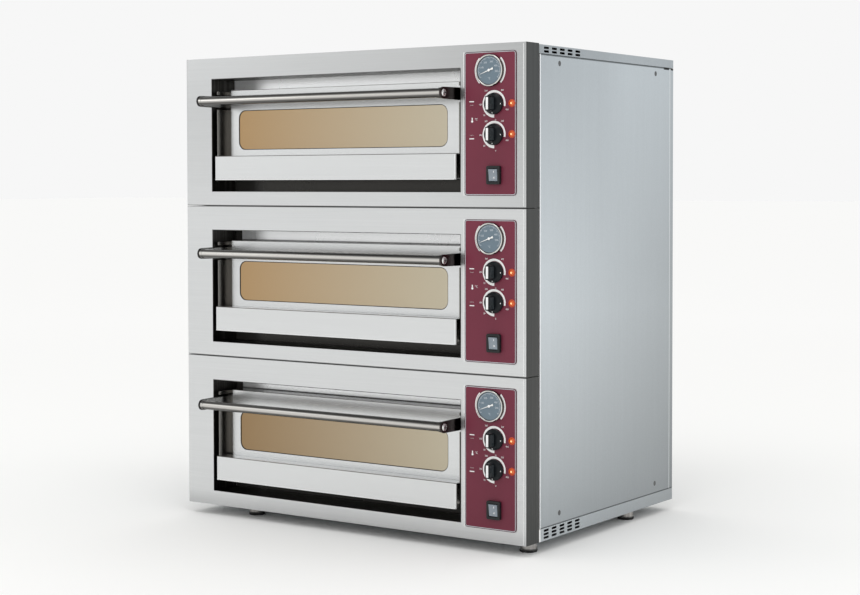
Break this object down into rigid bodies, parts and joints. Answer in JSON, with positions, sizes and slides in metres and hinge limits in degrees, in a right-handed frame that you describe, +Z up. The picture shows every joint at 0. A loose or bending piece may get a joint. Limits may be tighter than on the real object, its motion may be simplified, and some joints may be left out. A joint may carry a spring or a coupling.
{
  "type": "deck oven",
  "caption": "Electric bakery deck oven with stacked baking chambers, drop-down window doors, a gauge and control knobs for each deck.",
  "frame": {"origin": "on the floor under the centre of the whole object's box", "axes": "+Z up, -Y out of the front with the doors, +X to the right seen from the front"},
  "size_m": [0.94, 0.7544, 1.073],
  "materials": {
    "front_stainless": "fine horizontal brushing",
    "casing_stainless": "satin, faint vertical grain",
    "door_pan_steel": "dark heat-tinted bright steel",
    "chamber_steel": "satin, heat-toned",
    "handle_chrome": "polished tube",
    "arm_steel": "polished plate",
    "control_red": "bordeaux satin lacquer with a thin silver border",
    "black_plastic": "moulded, satin",
    "smoked_plastic": "translucent grey rocker",
    "window_glass": "amber, reflective",
    "gauge_metal": "steel bezel around a blue-grey dial",
    "needle_white": "white pointer",
    "baking_stone": "matt refractory clay",
    "element_steel": "oxidised tubular element",
    "foot_steel": "turned stainless with a black rubber sole"
  },
  "bodies": {
    "oven_body": {"bottom_fascia": "front_stainless", "bottom_chamber": "chamber_steel", "bottom_baking_stone": "baking_stone", "bottom_heating_elements": "element_steel", "bottom_control_plate": "control_red", "bottom_thermometer": "gauge_metal", "bottom_switch_housing": "black_plastic", "middle_fascia": "front_stainless", "middle_chamber": "chamber_steel", "middle_baking_stone": "baking_stone", "middle_heating_elements": "element_steel", "middle_control_plate": "control_red", "middle_thermometer": "gauge_metal", "middle_switch_housing": "black_plastic", "top_fascia": "front_stainless", "top_chamber": "chamber_steel", "top_baking_stone": "baking_stone", "top_heating_elements": "element_steel", "top_control_plate": "control_red", "top_thermometer": "gauge_metal", "top_switch_housing": "black_plastic", "top_cover": "casing_stainless", "base_tray": "casing_stainless", "side_panel_left": "casing_stainless", "side_panel_right": "casing_stainless", "rear_panel": "casing_stainless", "foot_front_left": "foot_steel", "foot_front_right": "foot_steel", "foot_rear_left": "foot_steel", "foot_rear_right": "foot_steel"},
    "bottom_door": {"bottom_door_skin": "front_stainless", "bottom_door_liner": "door_pan_steel", "bottom_door_glass": "window_glass", "bottom_handle_bar": "handle_chrome", "bottom_handle_arm_left": "arm_steel", "bottom_handle_arm_right": "arm_steel"},
    "bottom_needle": {"bottom_thermometer_needle": "needle_white"},
    "bottom_top_knob": {"bottom_knob_top_heat": "black_plastic"},
    "bottom_bottom_knob": {"bottom_knob_bottom_heat": "black_plastic"},
    "bottom_rocker": {"bottom_switch_rocker": "smoked_plastic"},
    "middle_door": {"middle_door_skin": "front_stainless", "middle_door_liner": "door_pan_steel", "middle_door_glass": "window_glass", "middle_handle_bar": "handle_chrome", "middle_handle_arm_left": "arm_steel", "middle_handle_arm_right": "arm_steel"},
    "middle_needle": {"middle_thermometer_needle": "needle_white"},
    "middle_top_knob": {"middle_knob_top_heat": "black_plastic"},
    "middle_bottom_knob": {"middle_knob_bottom_heat": "black_plastic"},
    "middle_rocker": {"middle_switch_rocker": "smoked_plastic"},
    "top_door": {"top_door_skin": "front_stainless", "top_door_liner": "door_pan_steel", "top_door_glass": "window_glass", "top_handle_bar": "handle_chrome", "top_handle_arm_left": "arm_steel", "top_handle_arm_right": "arm_steel"},
    "top_needle": {"top_thermometer_needle": "needle_white"},
    "top_top_knob": {"top_knob_top_heat": "black_plastic"},
    "top_bottom_knob": {"top_knob_bottom_heat": "black_plastic"},
    "top_rocker": {"top_switch_rocker": "smoked_plastic"}
  },
  "joints": [
    {"name": "bottom_door_hinge", "type": "hinge", "parent": "oven_body", "child": "bottom_door", "pos_m": [-0.0425, -0.29675, 0.091], "axis": [1, 0, 0], "range_deg": [0, 90]},
    {"name": "bottom_top_heat_turn", "type": "hinge", "parent": "oven_body", "child": "bottom_top_knob", "pos_m": [0.392, -0.31605, 0.243], "axis": [0, 1, 0], "range_deg": [0, 300]},
    {"name": "bottom_bottom_heat_turn", "type": "hinge", "parent": "oven_body", "child": "bottom_bottom_knob", "pos_m": [0.392, -0.31605, 0.179], "axis": [0, 1, 0], "range_deg": [0, 300]},
    {"name": "bottom_switch_rock", "type": "hinge", "parent": "oven_body", "child": "bottom_rocker", "pos_m": [0.393, -0.31975, 0.094], "axis": [1, 0, 0], "range_deg": [-12, 0]},
    {"name": "bottom_needle_swing", "type": "hinge", "parent": "oven_body", "child": "bottom_needle", "pos_m": [0.382, -0.32025, 0.313], "axis": [0, 1, 0], "range_deg": [-25, 245]},
    {"name": "middle_door_hinge", "type": "hinge", "parent": "oven_body", "child": "middle_door", "pos_m": [-0.0425, -0.29675, 0.443], "axis": [1, 0, 0], "range_deg": [0, 90]},
    {"name": "middle_top_heat_turn", "type": "hinge", "parent": "oven_body", "child": "middle_top_knob", "pos_m": [0.392, -0.31605, 0.595], "axis": [0, 1, 0], "range_deg": [0, 300]},
    {"name": "middle_bottom_heat_turn", "type": "hinge", "parent": "oven_body", "child": "middle_bottom_knob", "pos_m": [0.392, -0.31605, 0.531], "axis": [0, 1, 0], "range_deg": [0, 300]},
    {"name": "middle_switch_rock", "type": "hinge", "parent": "oven_body", "child": "middle_rocker", "pos_m": [0.393, -0.31975, 0.446], "axis": [1, 0, 0], "range_deg": [-12, 0]},
    {"name": "middle_needle_swing", "type": "hinge", "parent": "oven_body", "child": "middle_needle", "pos_m": [0.382, -0.32025, 0.665], "axis": [0, 1, 0], "range_deg": [-25, 245]},
    {"name": "top_door_hinge", "type": "hinge", "parent": "oven_body", "child": "top_door", "pos_m": [-0.0425, -0.29675, 0.795], "axis": [1, 0, 0], "range_deg": [0, 90]},
    {"name": "top_top_heat_turn", "type": "hinge", "parent": "oven_body", "child": "top_top_knob", "pos_m": [0.392, -0.31605, 0.947], "axis": [0, 1, 0], "range_deg": [0, 300]},
    {"name": "top_bottom_heat_turn", "type": "hinge", "parent": "oven_body", "child": "top_bottom_knob", "pos_m": [0.392, -0.31605, 0.883], "axis": [0, 1, 0], "range_deg": [0, 300]},
    {"name": "top_switch_rock", "type": "hinge", "parent": "oven_body", "child": "top_rocker", "pos_m": [0.393, -0.31975, 0.798], "axis": [1, 0, 0], "range_deg": [-12, 0]},
    {"name": "top_needle_swing", "type": "hinge", "parent": "oven_body", "child": "top_needle", "pos_m": [0.382, -0.32025, 1.017], "axis": [0, 1, 0], "range_deg": [-25, 245]}
  ]
}
